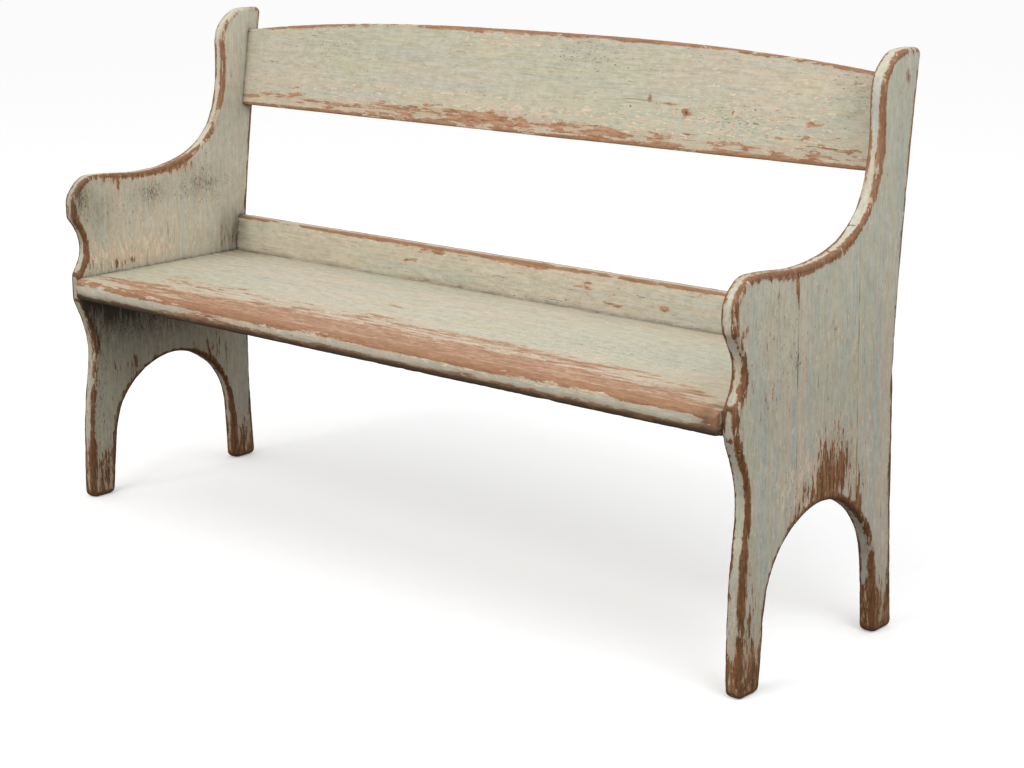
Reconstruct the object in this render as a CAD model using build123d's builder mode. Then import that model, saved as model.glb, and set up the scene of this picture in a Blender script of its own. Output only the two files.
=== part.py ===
from build123d import *
from math import cos, radians, sin, sqrt, tan
import os

# A painted pine pew. Two shaped ends, each glued up from three upright boards, carry a seat of
# three boards, a low back rail and one leaning backrest board. The seat, rail and backrest sit
# in shallow housings in the ends. Cleats screwed under the seat, dowels in the rail and the
# backrest, and plugged screws through the rail hold them there.
# Frame: the origin is on the floor under the middle of the pew, +X runs along its length,
# +Y to the back and +Z up. Depths are measured from the front of the seat.

# Overall size
LENGTH = 1549.4
DEPTH = 482.6
HEIGHT = 914.4

# Ends
END_THICKNESS = 28.0
END_ROUND = 6.0
END_CORNER = 10.0
END_TOP_LEAN = 0.16
END_FLAT = 12.0
END_SEAMS = (161.0, 322.0)
HOUSING = 6.0
HOUSING_RUNOUT = 8.0

# Seat
SEAT_TOP = 432.0
SEAT_THICKNESS = 38.0
SEAT_SEAMS = (150.0, 275.0)
SEAT_TOP_ROUND = 11.0
SEAT_BOTTOM_ROUND = 7.0
SEAT_END_ROUND = 7.0
SEAT_SHOULDER = 60.0

# Low back rail: its leaning front face meets the rear edge of the seat
RAIL_DEPTH_AT_SEAT = 399.8
RAIL_LEAN = 5.0
RAIL_WIDTH = 21.5
RAIL_BOTTOM = 384.0
RAIL_TOP = 500.5
RAIL_ROUND = 3.0

# Backrest board: its heights are measured up the leaning front face
BACKREST_DEPTH = 427.0
BACKREST_BOTTOM = 722.5
BACKREST_LEAN = 8.4
BACKREST_THICKNESS = 25.0
BACKREST_END_HEIGHT = 149.4
BACKREST_CREST_HEIGHT = 184.0
BACKREST_ROUND = 4.0

# Cleats under the ends of the seat
CLEAT_WIDTH = 24.0
CLEAT_HEIGHT = 34.0
CLEAT_FRONT = 115.0
CLEAT_BACK = 385.0
CLEAT_CHAMFER = 3.0

# Dowels: hidden, half in the end and half in the board
DOWEL_RADIUS = 5.0
DOWEL_IN_END = 20.0
DOWEL_IN_BOARD = 22.0
RAIL_DOWEL_HEIGHTS = (410.0, 472.0)
BACKREST_DOWEL_HEIGHTS = (25.0, 75.0, 125.0)

# Countersunk wood screws, and the wooden plugs over those in the rail
SCREW_RADIUS = 2.1
SCREW_HEAD_RADIUS = 4.2
SCREW_HEAD_RIM = 0.4
SCREW_HEAD_HEIGHT = 3.0
SCREW_TIP = 4.0
SCREW_SLOT_WIDTH = 1.2
SCREW_SLOT_DEPTH = 1.2
CLEAT_SCREW_LENGTH = 40.0
SEAT_SCREW_LENGTH = 60.0
RAIL_SCREW_LENGTH = 45.0
CLEAT_SCREW_DEPTHS = (149.0, 200.0, 290.0, 365.0)
SEAT_SCREW_DEPTHS = (133.0, 225.0, 330.0)
RAIL_SCREW_XS = (-600.0, -300.0, 0.0, 300.0, 600.0)
PLUG_RADIUS = 5.5
PLUG_LENGTH = 6.0
CLEARANCE = 0.1
BLIND_CLEARANCE = 1.0

INNER_X = LENGTH / 2 - END_THICKNESS
TONGUE_X = INNER_X + HOUSING
SEAT_BOTTOM = SEAT_TOP - SEAT_THICKNESS
SEAT_MIDDLE = SEAT_TOP - SEAT_THICKNESS / 2
SIDES = (("left", -1), ("right", 1))


def at(depth, height):
    """The side-plane point (y, z) at this depth from the front of the seat and this height."""
    return (depth - DEPTH / 2, height)


def rail_front(height):
    """Depth of the rail's leaning front face at this height."""
    return RAIL_DEPTH_AT_SEAT + (height - SEAT_TOP) * tan(radians(RAIL_LEAN))


def strips(seams, width):
    """The (front, back) depths of boards glued together at the seams, from 0 to width."""
    edges = (0.0,) + seams + (width,)
    return list(zip(edges[:-1], edges[1:]))


def turned_screw(length, grow=0.0, stub=0.0):
    """A countersunk screw with its head on the XY plane and its tip down. Its hole is the same
    shape grown all round, with a stub above the head."""
    with BuildPart() as screw:
        with BuildSketch(Plane.XZ):
            with BuildLine():
                Polyline(
                    (0, stub),
                    (SCREW_HEAD_RADIUS + grow, stub),
                    (SCREW_HEAD_RADIUS + grow, -SCREW_HEAD_RIM - grow),
                    (SCREW_RADIUS + grow, -SCREW_HEAD_HEIGHT - grow),
                    (SCREW_RADIUS + grow, -length + SCREW_TIP),
                    (0, -length - grow),
                    close=True,
                )
            make_face()
        revolve(axis=Axis.Z)
        if grow == 0:
            with Locations((0, 0, -SCREW_SLOT_DEPTH / 2)):
                Box(3 * SCREW_HEAD_RADIUS, SCREW_SLOT_WIDTH, SCREW_SLOT_DEPTH, mode=Mode.SUBTRACT)
    return screw.part


def across(points, radius, start, length):
    """Rods along X through the points, from the plane X = start."""
    with BuildPart() as rods:
        with BuildSketch(Plane.YZ.offset(start)):
            with Locations(*points):
                Circle(radius)
        extrude(amount=length)
    return rods.part


# Leaning planes: the front face of the backrest, and the back face of the rail at screw height
backrest_plane = Plane(
    origin=(0, at(BACKREST_DEPTH, 0)[0], BACKREST_BOTTOM),
    x_dir=(1, 0, 0),
    z_dir=(0, -cos(radians(BACKREST_LEAN)), sin(radians(BACKREST_LEAN))),
)
rail_back_plane = Plane(
    origin=(0, at(rail_front(SEAT_MIDDLE) + RAIL_WIDTH, 0)[0], SEAT_MIDDLE),
    x_dir=(1, 0, 0),
    z_dir=(0, cos(radians(RAIL_LEAN)), -sin(radians(RAIL_LEAN))),
)

# Where the dowels and screws go
rail_dowel_points = [
    at(rail_front(height) + RAIL_WIDTH / 2, height) for height in RAIL_DOWEL_HEIGHTS
]
backrest_dowel_points = []
for height in BACKREST_DOWEL_HEIGHTS:
    centre = backrest_plane.from_local_coords(Vector(0, height, -BACKREST_THICKNESS / 2))
    backrest_dowel_points.append((centre.Y, centre.Z))

cleat_screws = []
seat_screws = []
for _, side in SIDES:
    for depth in CLEAT_SCREW_DEPTHS:
        y, z = at(depth, SEAT_BOTTOM - CLEAT_HEIGHT / 2)
        x = side * (INNER_X - CLEAT_WIDTH)
        cleat_screws.append(Plane(origin=(x, y, z), z_dir=(-side, 0, 0)))
    for depth in SEAT_SCREW_DEPTHS:
        y, z = at(depth, SEAT_BOTTOM - CLEAT_HEIGHT)
        x = side * (INNER_X - CLEAT_WIDTH / 2)
        seat_screws.append(Plane(origin=(x, y, z), z_dir=(0, 0, -1)))
rail_screws = [
    rail_back_plane.offset(-PLUG_LENGTH).shift_origin(
        rail_back_plane.offset(-PLUG_LENGTH).from_local_coords(Vector(x, 0, 0))
    )
    for x in RAIL_SCREW_XS
]
cleat_screw_hole = turned_screw(CLEAT_SCREW_LENGTH, CLEARANCE, BLIND_CLEARANCE)
seat_screw_hole = turned_screw(SEAT_SCREW_LENGTH, CLEARANCE, BLIND_CLEARANCE)
rail_screw_hole = turned_screw(RAIL_SCREW_LENGTH, CLEARANCE, BLIND_CLEARANCE)
pieces = []

# Seat boards: one nosed section along the pew, cut in three at the glue lines
with BuildSketch(Plane.YZ) as seat_section:
    with BuildLine():
        Polyline(
            at(0, SEAT_BOTTOM),
            at(0, SEAT_TOP),
            at(RAIL_DEPTH_AT_SEAT, SEAT_TOP),
            at(rail_front(SEAT_BOTTOM), SEAT_BOTTOM),
            close=True,
        )
    make_face()
    top_corner = seat_section.vertices().sort_by(Axis.Y)[-2:].sort_by(Axis.X)[0]
    fillet(top_corner, radius=SEAT_TOP_ROUND)
    bottom_corner = seat_section.vertices().sort_by(Axis.Y)[:2].sort_by(Axis.X)[0]
    fillet(bottom_corner, radius=SEAT_BOTTOM_ROUND)

seat_boards = []
seat_names = ("seat_front_board", "seat_middle_board", "seat_rear_board")
for name, (front, back) in zip(seat_names, strips(SEAT_SEAMS, RAIL_DEPTH_AT_SEAT)):
    with BuildPart() as seat_board:
        with BuildSketch(Plane.YZ.offset(-TONGUE_X)):
            add(seat_section.sketch_local)
            with Locations(at((front + back) / 2, SEAT_MIDDLE)):
                Rectangle(back - front, 2 * SEAT_THICKNESS, mode=Mode.INTERSECT)
        extrude(amount=2 * TONGUE_X)
        if front == 0:
            # The nosing stops short of the ends, at shoulders behind the front of the housings
            with BuildSketch(Plane.XY.offset(SEAT_BOTTOM)) as plan:
                with Locations((0, at(SEAT_SHOULDER / 2, 0)[0])):
                    Rectangle(2 * INNER_X, SEAT_SHOULDER)
                fillet(plan.vertices().group_by(Axis.Y)[0], radius=SEAT_END_ROUND)
                with Locations((0, at((SEAT_SHOULDER + back) / 2, 0)[0])):
                    Rectangle(2 * TONGUE_X, back - SEAT_SHOULDER)
            extrude(amount=SEAT_THICKNESS, mode=Mode.INTERSECT)
        with Locations(*seat_screws):
            add(seat_screw_hole, mode=Mode.SUBTRACT)
        with Locations(*rail_screws):
            add(rail_screw_hole, mode=Mode.SUBTRACT)
    seat_board.part.label = name
    seat_boards.append(seat_board.part)
pieces += seat_boards

# Low back rail
with BuildPart() as rail:
    with BuildSketch(Plane.YZ.offset(-TONGUE_X)):
        with BuildLine():
            Polyline(
                at(rail_front(RAIL_BOTTOM), RAIL_BOTTOM),
                at(rail_front(RAIL_TOP), RAIL_TOP),
                at(rail_front(RAIL_TOP) + RAIL_WIDTH, RAIL_TOP),
                at(rail_front(RAIL_BOTTOM) + RAIL_WIDTH, RAIL_BOTTOM),
                close=True,
            )
        make_face()
    extrude(amount=2 * TONGUE_X)
    fillet(rail.edges().filter_by(Axis.X), radius=RAIL_ROUND)
    with Locations(*rail_screws):
        add(rail_screw_hole, mode=Mode.SUBTRACT)
    with BuildSketch(rail_back_plane):
        with Locations(*[(x, 0) for x in RAIL_SCREW_XS]):
            Circle(PLUG_RADIUS + CLEARANCE)
    extrude(amount=-PLUG_LENGTH, mode=Mode.SUBTRACT)
    for _, side in SIDES:
        depth = DOWEL_IN_BOARD + HOUSING + BLIND_CLEARANCE
        add(
            across(rail_dowel_points, DOWEL_RADIUS + CLEARANCE, side * TONGUE_X, -side * depth),
            mode=Mode.SUBTRACT,
        )
rail.part.label = "lower_back_rail"

# Backrest board: straight along the bottom, with a gently bowed crest
crest_drop = BACKREST_CREST_HEIGHT - BACKREST_END_HEIGHT
with BuildPart() as backrest:
    with BuildSketch(backrest_plane):
        with BuildLine():
            Polyline(
                (-TONGUE_X, BACKREST_END_HEIGHT),
                (-TONGUE_X, 0),
                (TONGUE_X, 0),
                (TONGUE_X, BACKREST_END_HEIGHT),
            )
            Spline(
                (TONGUE_X, BACKREST_END_HEIGHT),
                (0.82 * TONGUE_X, BACKREST_CREST_HEIGHT - 0.59 * crest_drop),
                (0.5 * TONGUE_X, BACKREST_CREST_HEIGHT - 0.16 * crest_drop),
                (0, BACKREST_CREST_HEIGHT),
                (-0.5 * TONGUE_X, BACKREST_CREST_HEIGHT - 0.16 * crest_drop),
                (-0.82 * TONGUE_X, BACKREST_CREST_HEIGHT - 0.59 * crest_drop),
                (-TONGUE_X, BACKREST_END_HEIGHT),
            )
        make_face()
    extrude(amount=-BACKREST_THICKNESS)
    long_edges = backrest.edges().filter_by(lambda edge: edge.length > TONGUE_X)
    fillet(long_edges, radius=BACKREST_ROUND)
    for _, side in SIDES:
        depth = DOWEL_IN_BOARD + HOUSING + BLIND_CLEARANCE
        add(
            across(backrest_dowel_points, DOWEL_RADIUS + CLEARANCE, side * TONGUE_X, -side * depth),
            mode=Mode.SUBTRACT,
        )
backrest.part.label = "backrest_board"
pieces += [rail.part, backrest.part]

# Side outline shared by both ends. The back corner stands out by what its rounding takes off.
top_back = DEPTH + END_CORNER * (END_TOP_LEAN + sqrt(1 + END_TOP_LEAN**2) - 1)
flat_y, _ = at(END_FLAT, 0)
with BuildSketch(Plane.YZ) as end_outline:
    with BuildLine():
        # Front edge of the leg, out to the calf and back to the flat beside the seat
        Spline(at(22, 0), at(23.5, 100), at(31.5, 205), at(40.5, 283), tangents=[(0, 1), (0, 1)])
        Spline(at(40.5, 283), at(31.5, 338), at(END_FLAT, 388), tangents=[(0, 1), (-0.4, 1)])
        Line(at(END_FLAT, 388), at(END_FLAT, 437))
        # Waist and rounded nose of the arm
        Spline(
            at(END_FLAT, 437), at(25.5, 461), at(31, 489), at(25.5, 512), at(9.5, 540), at(5, 565),
            tangents=[(0.6, 1), (0, 1)],
        )
        Spline(at(5, 565), at(11.5, 594), at(34.5, 616.5), at(62, 623), tangents=[(0, 1), (1, 0)])
        # Arm top, swept up into the shoulder
        Spline(
            at(62, 623), at(150, 617), at(240, 623.5), at(311, 650), at(354, 696), at(373.5, 755),
            at(378.5, 840),
            tangents=[(1, 0), (0, 1)],
        )
        Spline(at(378.5, 840), at(388, 881), at(413, 905), at(455, HEIGHT), tangents=[(0, 1), (1, 0)])
        Line(at(455, HEIGHT), at(top_back, HEIGHT))
        # Leaning back edge and the rear leg
        Spline(
            at(top_back, HEIGHT), at(450, 677), at(430, 500), at(424.5, 400),
            tangents=[(-END_TOP_LEAN, -1), (0, -1)],
        )
        Line(at(424.5, 400), at(424.5, 220))
        Spline(at(424.5, 220), at(432.5, 0), tangents=[(0, -1), (0.06, -1)])
        # Leg arch between the two feet
        Line(at(432.5, 0), at(377, 0))
        Spline(
            at(377, 0), at(374, 85), at(361, 163), at(313, 221), at(235, 249.5), at(148, 221),
            at(98, 160), at(84, 90), at(74.5, 0),
            tangents=[(0, 1), (-0.1, -1)],
        )
        Line(at(74.5, 0), at(22, 0))
    make_face()
    foot_corners = end_outline.vertices().group_by(Axis.Y)[0]
    flat_corners = end_outline.vertices().filter_by(lambda point: abs(point.X - flat_y) < CLEARANCE)
    top_corner = end_outline.vertices().group_by(Axis.X)[-1]
    fillet(foot_corners + flat_corners + top_corner, radius=END_CORNER)

# End boards: rounded all round except at the glue lines, and housed for the seat, rail and
# backrest. The last two housings run out through the back edge.
seam_ys = [at(seam, 0)[0] for seam in END_SEAMS]
end_names = ("end_front_board", "end_middle_board", "end_rear_board")
for side_name, side in SIDES:
    dowel_holes = across(
        rail_dowel_points + backrest_dowel_points,
        DOWEL_RADIUS + CLEARANCE,
        side * INNER_X,
        side * (DOWEL_IN_END + BLIND_CLEARANCE),
    )
    for name, (front, back) in zip(end_names, strips(END_SEAMS, DEPTH)):
        with BuildPart() as end_board:
            with BuildSketch(Plane.YZ.offset(side * INNER_X)):
                add(end_outline.sketch_local)
                with Locations(at((front + back) / 2, HEIGHT / 2)):
                    Rectangle(back - front, 2 * HEIGHT, mode=Mode.INTERSECT)
            extrude(amount=side * END_THICKNESS)
            face_edges = end_board.faces().filter_by(Axis.X).edges()
            for seam_y in seam_ys:
                face_edges = [edge for edge in face_edges if abs(edge.center().Y - seam_y) > CLEARANCE]
            fillet(face_edges, radius=END_ROUND)
            add(seat_boards, mode=Mode.SUBTRACT)
            for board in (rail.part, backrest.part):
                add(board, mode=Mode.SUBTRACT)
                add(board.moved(Location((0, HOUSING_RUNOUT, 0))), mode=Mode.SUBTRACT)
            add(dowel_holes, mode=Mode.SUBTRACT)
            with Locations(*cleat_screws):
                add(cleat_screw_hole, mode=Mode.SUBTRACT)
        end_board.part.label = f"{side_name}_{name}"
        pieces.append(end_board.part)

# Cleats: battens screwed to the ends, with the seat screwed down to them from below
for side_name, side in SIDES:
    with BuildPart() as cleat:
        with BuildSketch(Plane.YZ.offset(side * INNER_X)):
            with Locations(at((CLEAT_FRONT + CLEAT_BACK) / 2, SEAT_BOTTOM - CLEAT_HEIGHT / 2)):
                Rectangle(CLEAT_BACK - CLEAT_FRONT, CLEAT_HEIGHT)
        extrude(amount=-side * CLEAT_WIDTH)
        open_face = cleat.faces().sort_by(Axis.X, reverse=side > 0)[-1]
        chamfer(open_face.edges().sort_by(Axis.Z)[0], length=CLEAT_CHAMFER)
        with Locations(*cleat_screws):
            add(cleat_screw_hole, mode=Mode.SUBTRACT)
        with Locations(*seat_screws):
            add(seat_screw_hole, mode=Mode.SUBTRACT)
    cleat.part.label = f"{side_name}_seat_cleat"
    pieces.append(cleat.part)

# Dowels
for name, points in (("rail_dowels", rail_dowel_points), ("backrest_dowels", backrest_dowel_points)):
    with BuildPart() as dowels:
        for _, side in SIDES:
            start = side * (INNER_X - DOWEL_IN_BOARD)
            add(across(points, DOWEL_RADIUS, start, side * (DOWEL_IN_BOARD + DOWEL_IN_END)))
    dowels.part.label = name
    pieces.append(dowels.part)

# Screws
for name, planes, length in (
    ("cleat_to_end_screws", cleat_screws, CLEAT_SCREW_LENGTH),
    ("cleat_to_seat_screws", seat_screws, SEAT_SCREW_LENGTH),
    ("rail_to_seat_screws", rail_screws, RAIL_SCREW_LENGTH),
):
    one_screw = turned_screw(length)
    with BuildPart() as screws:
        with Locations(*planes):
            add(one_screw)
    screws.part.label = name
    pieces.append(screws.part)

# Plugs over the screws in the back of the rail
with BuildPart() as plugs:
    with BuildSketch(rail_back_plane):
        with Locations(*[(x, 0) for x in RAIL_SCREW_XS]):
            Circle(PLUG_RADIUS)
    extrude(amount=-(PLUG_LENGTH - CLEARANCE))
plugs.part.label = "rail_screw_plugs"
pieces.append(plugs.part)

os.makedirs("parts", exist_ok=True)
for piece in pieces:
    export_step(piece, f"parts/{piece.label}.step")
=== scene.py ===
import math
from types import SimpleNamespace

import bpy
import numpy as np
from mathutils import Matrix, Vector, noise
from mathutils.bvhtree import BVHTree
from mathutils.geometry import delaunay_2d_cdt
from mathutils.kdtree import KDTree


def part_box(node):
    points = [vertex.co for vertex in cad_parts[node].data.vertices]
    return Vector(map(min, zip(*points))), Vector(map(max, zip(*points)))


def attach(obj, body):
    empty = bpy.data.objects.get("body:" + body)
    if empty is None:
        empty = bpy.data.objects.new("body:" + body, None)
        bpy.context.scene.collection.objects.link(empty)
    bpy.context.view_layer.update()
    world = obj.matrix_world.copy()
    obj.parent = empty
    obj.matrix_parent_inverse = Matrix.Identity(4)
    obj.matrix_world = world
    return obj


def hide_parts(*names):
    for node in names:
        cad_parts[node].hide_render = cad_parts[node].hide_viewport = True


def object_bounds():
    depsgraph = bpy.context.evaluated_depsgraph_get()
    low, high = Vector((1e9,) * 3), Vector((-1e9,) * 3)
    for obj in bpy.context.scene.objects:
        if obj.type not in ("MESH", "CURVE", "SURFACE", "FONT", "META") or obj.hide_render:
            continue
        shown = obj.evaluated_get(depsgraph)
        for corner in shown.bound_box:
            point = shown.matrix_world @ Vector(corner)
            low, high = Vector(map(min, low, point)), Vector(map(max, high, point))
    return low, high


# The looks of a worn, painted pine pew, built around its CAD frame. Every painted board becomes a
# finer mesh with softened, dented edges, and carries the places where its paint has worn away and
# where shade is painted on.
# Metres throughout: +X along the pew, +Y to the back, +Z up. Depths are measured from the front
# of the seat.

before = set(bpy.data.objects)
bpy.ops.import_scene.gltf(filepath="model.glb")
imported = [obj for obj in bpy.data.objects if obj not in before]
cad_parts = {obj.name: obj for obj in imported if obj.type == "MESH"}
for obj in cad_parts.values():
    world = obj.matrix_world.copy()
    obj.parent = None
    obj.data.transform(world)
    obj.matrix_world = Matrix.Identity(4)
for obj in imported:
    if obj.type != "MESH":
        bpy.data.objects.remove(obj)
CAD_LOW, CAD_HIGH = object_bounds()
BODY = "root"

# Boards that are glued into one panel are finished as one
PANELS = {
    "left_end": ["left_end_front_board", "left_end_middle_board", "left_end_rear_board"],
    "right_end": ["right_end_front_board", "right_end_middle_board", "right_end_rear_board"],
    "seat": ["seat_front_board", "seat_middle_board", "seat_rear_board"],
    "rail": ["lower_back_rail"],
    "backrest": ["backrest_board"],
    "left_cleat": ["left_seat_cleat"],
    "right_cleat": ["right_seat_cleat"],
}

SEAT_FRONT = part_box("seat_front_board")[0].y
SEAT_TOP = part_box("seat_front_board")[1].z
SEAT_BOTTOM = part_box("seat_front_board")[0].z
OUTER_X = CAD_HIGH.x
INNER_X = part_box("right_seat_cleat")[1].x
END_SEAMS = [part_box(f"right_end_{board}_board")[0].y for board in ("middle", "rear")]


def at(x, depth, height):
    """A point, from its depth behind the front of the seat and its height."""
    return np.array([x, SEAT_FRONT + depth, height])


# ---------------------------------------------------------------- meshes

WELD = 1e-6  # points nearer than this are one point
TINY, TINIEST = 1e-9, 1e-18  # keep a division by a length or an area from failing
LIFT = 0.0003  # how far beside a surface or an arris it is probed
GLUE_GAP = 0.0001  # a point this near a glued board is on the glue line
GAP = 0.012  # a surface this near another one is hidden
FAR = 0.08  # distances are measured up to here

ARRIS_BEND = 1 / 0.012  # an arris bends faster than this, in radians per metre
ARRIS_LEAST = math.radians(3)  # and by more than this
ARRIS_STEP = 0.004  # the length of arris that is probed at once

FINEST = 0.004  # the longest edges beside an arris or another panel
COARSEST = 0.009  # the longest edges away from them
EDGE_SHARE = 0.35  # how fast edges may grow with the distance from them

FLAT_TURN = math.radians(0.2)  # triangles that turn less than this are on one flat face
FLAT_AREA = 4e-4  # a flat face larger than this is filled with a lattice
FINE_BAND = 0.012  # how far from an arris the lattice keeps all its points
ROW_HEIGHT = 0.87  # between the lattice's rows, as a share of the columns' spacing
BORDER_CLEAR = 0.5  # between the lattice and the border, as the same share


def read_mesh(node):
    """A CAD node's welded points and triangles."""
    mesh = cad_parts[node].data
    points = np.empty(len(mesh.vertices) * 3)
    mesh.vertices.foreach_get("co", points)
    mesh.calc_loop_triangles()
    corners = np.empty(len(mesh.loop_triangles) * 3, np.int32)
    mesh.loop_triangles.foreach_get("vertices", corners)
    grid = np.round(points.reshape(-1, 3) / WELD).astype(np.int64)
    _, first, welded = np.unique(grid, axis=0, return_index=True, return_inverse=True)
    tris = welded.reshape(-1)[corners].reshape(-1, 3)
    flat = (tris[:, 0] == tris[:, 1]) | (tris[:, 1] == tris[:, 2]) | (tris[:, 2] == tris[:, 0])
    return points.reshape(-1, 3)[first], tris[~flat]


def directed_edges(tris):
    """Each triangle's edges 01, 12 and 20, as its corners run round it."""
    return tris[:, [0, 1, 1, 2, 2, 0]].reshape(-1, 2)


def unique_edges(tris):
    """The mesh's edges, and for each triangle the numbers of its edges 01, 12 and 20."""
    pairs = np.sort(directed_edges(tris), axis=1)
    span = int(tris.max()) + 1
    keys, which = np.unique(pairs[:, 0] * span + pairs[:, 1], return_inverse=True)
    return np.stack([keys // span, keys % span], axis=1), which.reshape(-1, 3)


def triangle_crosses(points, tris):
    a, b, c = points[tris[:, 0]], points[tris[:, 1]], points[tris[:, 2]]
    return np.cross(b - a, c - a)


def triangle_normals(points, tris):
    crosses = triangle_crosses(points, tris)
    return crosses / np.maximum(np.linalg.norm(crosses, axis=1, keepdims=True), TINIEST)


def triangle_areas(points, tris):
    return np.linalg.norm(triangle_crosses(points, tris), axis=1) / 2


def edge_lengths(points, edges):
    return np.linalg.norm(points[edges[:, 0]] - points[edges[:, 1]], axis=1)


def neighbours(which):
    """The two triangles on each edge, from each triangle's edge numbers."""
    return (np.argsort(which.ravel(), kind="stable") // 3).reshape(-1, 2)


def tree_of(nodes):
    """A ray-casting tree of these CAD nodes."""
    all_points, all_tris, count = [], [], 0
    for node in nodes:
        points, tris = SHAPES[node]
        all_points.append(points)
        all_tris.append(tris + count)
        count += len(points)
    return BVHTree.FromPolygons(
        np.vstack(all_points).tolist(), np.vstack(all_tris).tolist(), all_triangles=True
    )


def is_open(point, normal, glued):
    """True where a surface point sees out, and isn't in a hole, on a glue line or against another
    piece. glued is the tree of the boards glued to this one, which share its glue faces."""
    if glued is not None and glued.find_nearest(point, GLUE_GAP)[3] is not None:
        return False
    hit, hit_normal, _, distance = SOLID.ray_cast(Vector(point + normal * LIFT), Vector(normal))
    return hit is None or (hit_normal.dot(Vector(normal)) < 0 and distance > GAP)


def arris_points(points, tris, glued):
    """Points along the bends of the surface whose two sides both see out."""
    edges, which = unique_edges(tris)
    sides = neighbours(which)
    normals = triangle_normals(points, tris)
    length = edge_lengths(points, edges)
    turn = np.arccos(np.clip((normals[sides[:, 0]] * normals[sides[:, 1]]).sum(axis=1), -1, 1))
    width = triangle_areas(points, tris)[sides].sum(axis=1) / length
    found = []
    for edge in np.flatnonzero((turn / width > ARRIS_BEND) & (turn > ARRIS_LEAST)):
        a, b = points[edges[edge]]
        along = (b - a) / length[edge]
        inward = points[tris[sides[edge]]].mean(axis=1) - a
        inward -= np.outer(inward @ along, along)
        inward *= LIFT / np.linalg.norm(inward, axis=1, keepdims=True)
        steps = max(1, int(length[edge] / ARRIS_STEP))
        for k in range(steps):
            point = a + (b - a) * (k + 0.5) / steps
            if all(is_open(point + way, normals[f], glued) for way, f in zip(inward, sides[edge])):
                found += [point + (b - a) * third / steps for third in (-1 / 3, 0, 1 / 3)]
    return found


def measure(points, arrises, others):
    """Each point's distance from the nearest arris and from the nearest other panel."""
    near = np.full((len(points), 2), FAR)
    for row, point in enumerate(points.tolist()):
        near[row, 0] = min(FAR, arrises.find(point)[2])
        distance = others.find_nearest(point, FAR)[3]
        if distance is not None:
            near[row, 1] = distance
    return near


def linked(count, pairs):
    """Numbers, from 0, the sets of triangles that the pairs join."""
    touching = [[] for _ in range(count)]
    for a, b in pairs.tolist():
        touching[a].append(b)
        touching[b].append(a)
    group = [-1] * count
    number = 0
    for first in range(count):
        if group[first] >= 0:
            continue
        members, group[first] = [first], number
        for member in members:
            for other in touching[member]:
                if group[other] < 0:
                    group[other] = number
                    members.append(other)
        number += 1
    return np.array(group)


def flat_groups(points, tris):
    """Numbers the large flat faces from 0. A triangle on none of them has -1."""
    _, which = unique_edges(tris)
    sides = neighbours(which)
    normals = triangle_normals(points, tris)
    level = (normals[sides[:, 0]] * normals[sides[:, 1]]).sum(axis=1) > math.cos(FLAT_TURN)
    group = linked(len(tris), sides[level])
    large = np.flatnonzero(np.bincount(group, triangle_areas(points, tris)) > FLAT_AREA)
    number = np.full(group.max() + 1, -1)
    number[large] = np.arange(len(large))
    return number[group]


def split(tris, middles):
    """Cuts each triangle at the middles of its edges 01, 12 and 20, where they have one. Also
    gives the triangle that each piece came from."""
    cut = middles >= 0
    count = cut.sum(axis=1)
    pieces, parents = [tris[count == 0]], [np.flatnonzero(count == 0)]

    def keep(chosen, *corners):
        for triple in corners:
            pieces.append(np.stack(triple, axis=1))
            parents.append(np.flatnonzero(chosen))

    a, b, c = tris[count == 3].T
    ab, bc, ca = middles[count == 3].T
    keep(count == 3, (a, ab, ca), (ab, b, bc), (ca, bc, c), (ab, bc, ca))
    for k in range(3):
        one = (count == 1) & cut[:, k]
        a, b, c = np.roll(tris[one], -k, axis=1).T
        ab = middles[one, k]
        keep(one, (a, ab, c), (ab, b, c))
        two = (count == 2) & ~cut[:, k]
        a, b, c = np.roll(tris[two], -k, axis=1).T
        _, bc, ca = np.roll(middles[two], -k, axis=1).T
        keep(two, (ca, bc, c), (a, b, bc), (a, bc, ca))
    return np.vstack(pieces), np.concatenate(parents)


def refine(points, tris, arrises, others):
    """A mesh of the same shape with small triangles, smallest near an arris or another panel.
    Edges round the flat faces and on the curved ones are halved until they are short, and then
    the flat faces are filled again from their borders."""
    group = flat_groups(points, tris)
    near = measure(points, arrises, others)
    while True:
        edges, which = unique_edges(tris)
        sides = group[neighbours(which)]
        border = (sides[:, 0] != sides[:, 1]) | (sides[:, 0] < 0)
        length = edge_lengths(points, edges)
        spacing = near[edges].min(axis=2).mean(axis=1) - length / 2
        allowed = np.clip(spacing * EDGE_SHARE, FINEST, COARSEST)
        long = np.flatnonzero(border & (length > allowed))
        if not len(long):
            break
        middles = points[edges[long]].mean(axis=1)
        middle_of = np.full(len(edges), -1)
        middle_of[long] = len(points) + np.arange(len(long))
        points = np.vstack([points, middles])
        near = np.vstack([near, measure(middles, arrises, others)])
        tris, parents = split(tris, middle_of[which])
        group = group[parents]
    filled = [tris[group < 0]]
    for number in range(group.max() + 1):
        inner, face = fill_flat(points, tris[group == number], arrises)
        filled.append(face)
        points = np.vstack([points, inner])
        near = np.vstack([near, measure(inner, arrises, others)])
    used, tris = np.unique(np.vstack(filled), return_inverse=True)
    return points[used], tris.reshape(-1, 3), near[used]


def flat_border(tris):
    """The directed edges round a flat face's triangles."""
    _, which = unique_edges(tris)
    once = (np.bincount(which.ravel()) == 1)[which.ravel()]
    return directed_edges(tris)[once]


def fence_along(points, border, normal):
    """A ray-casting tree of low walls that stand across a flat face's border."""
    walls = np.vstack([points[border[:, 0]] - normal * LIFT, points[border[:, 1]] - normal * LIFT])
    walls = np.vstack([walls, walls + 2 * normal * LIFT])
    first = np.arange(len(border))
    panes = np.stack([first, first + len(first), first + 3 * len(first), first + 2 * len(first)], 1)
    return BVHTree.FromPolygons(walls.tolist(), panes.tolist())


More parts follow.
